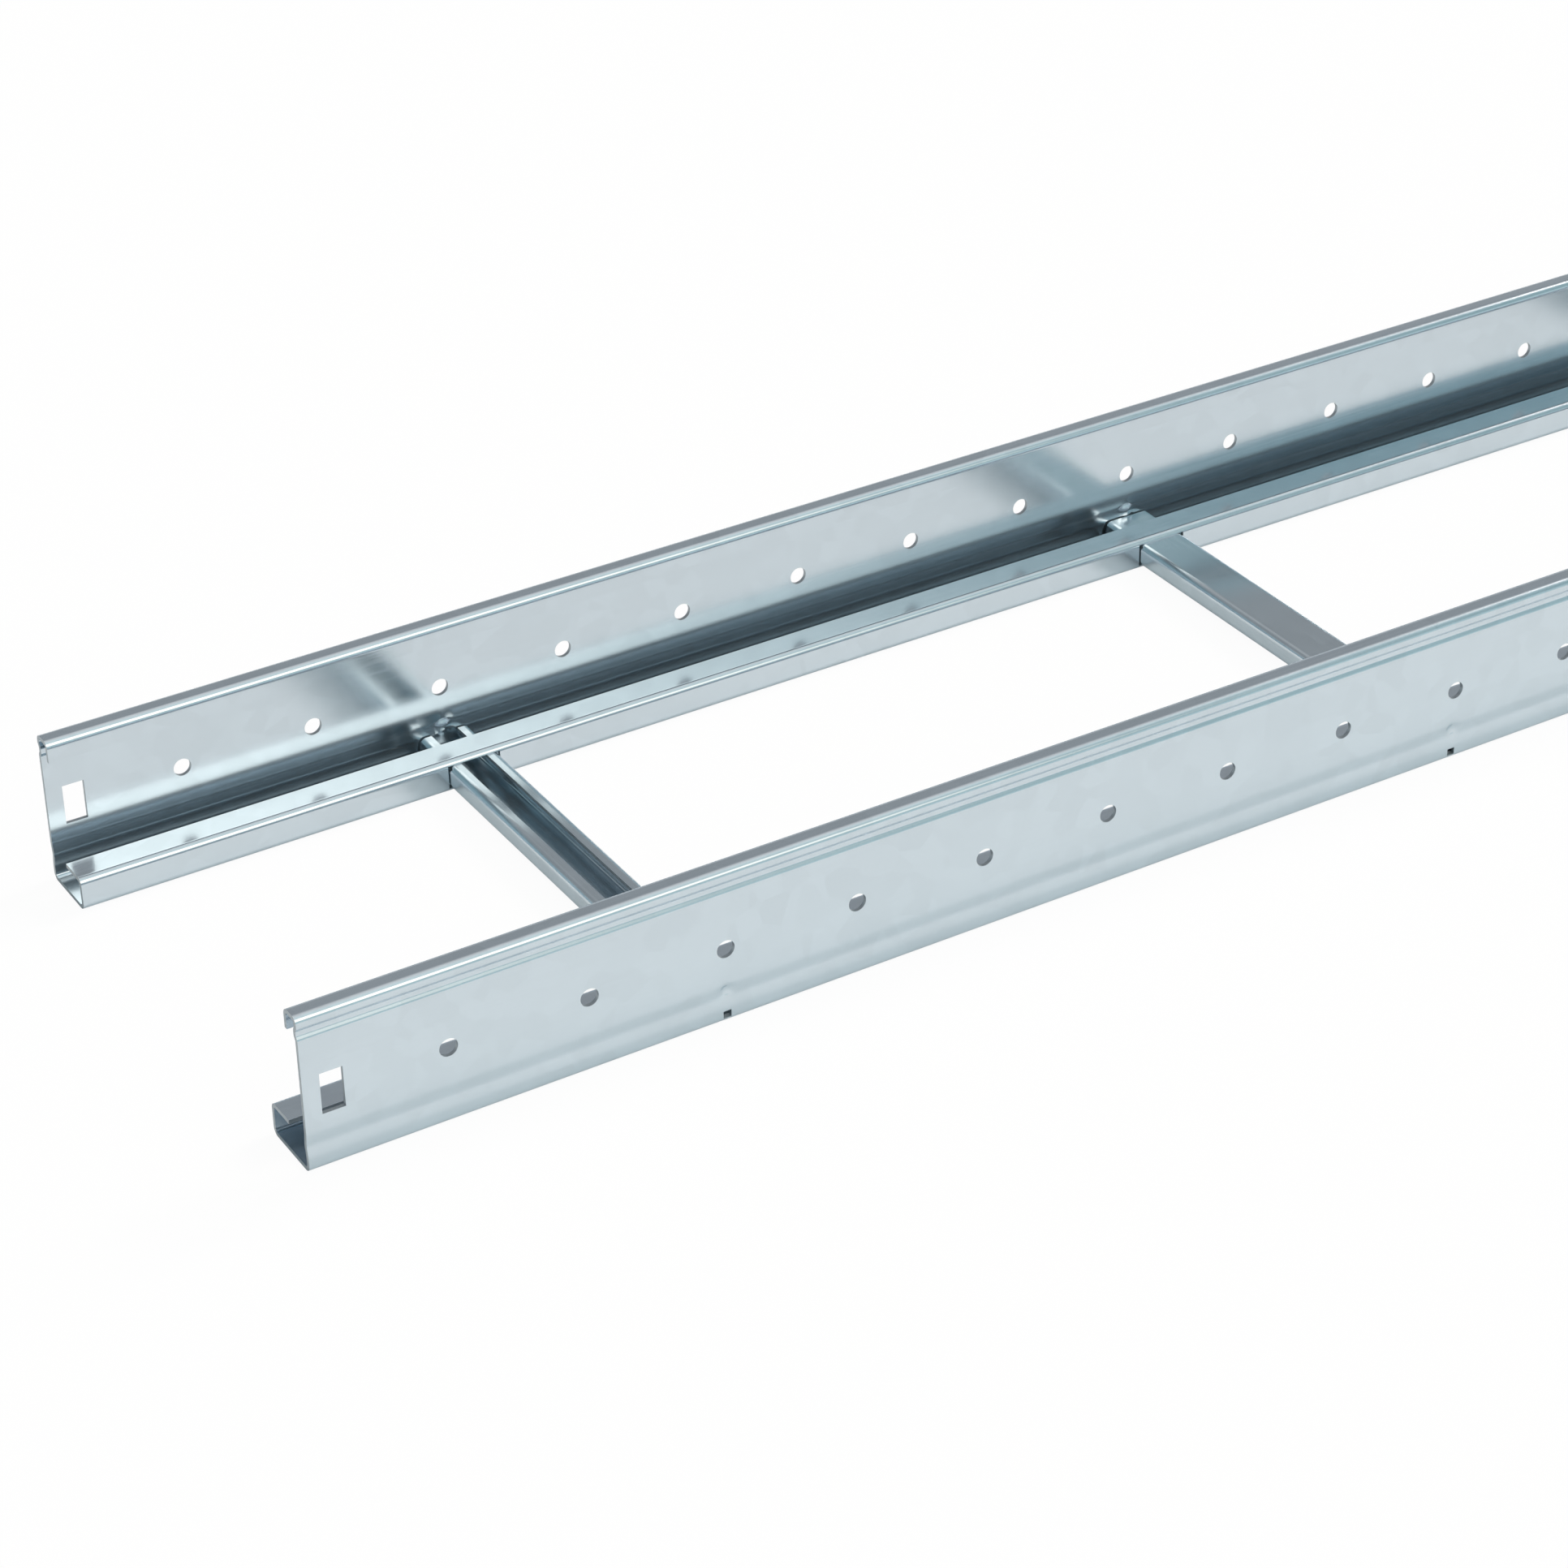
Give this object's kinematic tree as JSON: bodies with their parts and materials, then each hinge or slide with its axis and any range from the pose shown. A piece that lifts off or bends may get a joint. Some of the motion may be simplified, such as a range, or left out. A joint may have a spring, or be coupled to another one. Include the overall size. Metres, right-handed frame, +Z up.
{
  "type": "cable ladder section",
  "caption": "Straight ladder-type cable support: two folded sheet-metal side rails with punched webs, joined by channel rungs that face up and down in turn.",
  "frame": {"origin": "middle of the ladder's length and width, on its underside", "axes": "+X along the rails, towards the end that the picture doesn't show; +Y across, from the near rail to the far one; +Z up, the side on which cables are laid"},
  "size_m": [3, 0.2, 0.058],
  "materials": {
    "rail_steel": "zinc coated strip, satin",
    "rung_steel": "zinc coated strip, satin"
  },
  "bodies": {
    "root": {"side_rail_left": "rail_steel", "side_rail_right": "rail_steel", "rung_01": "rung_steel", "rung_02": "rung_steel", "rung_03": "rung_steel", "rung_04": "rung_steel", "rung_05": "rung_steel", "rung_06": "rung_steel", "rung_07": "rung_steel", "rung_08": "rung_steel", "rung_09": "rung_steel", "rung_10": "rung_steel"}
  },
  "joints": []
}
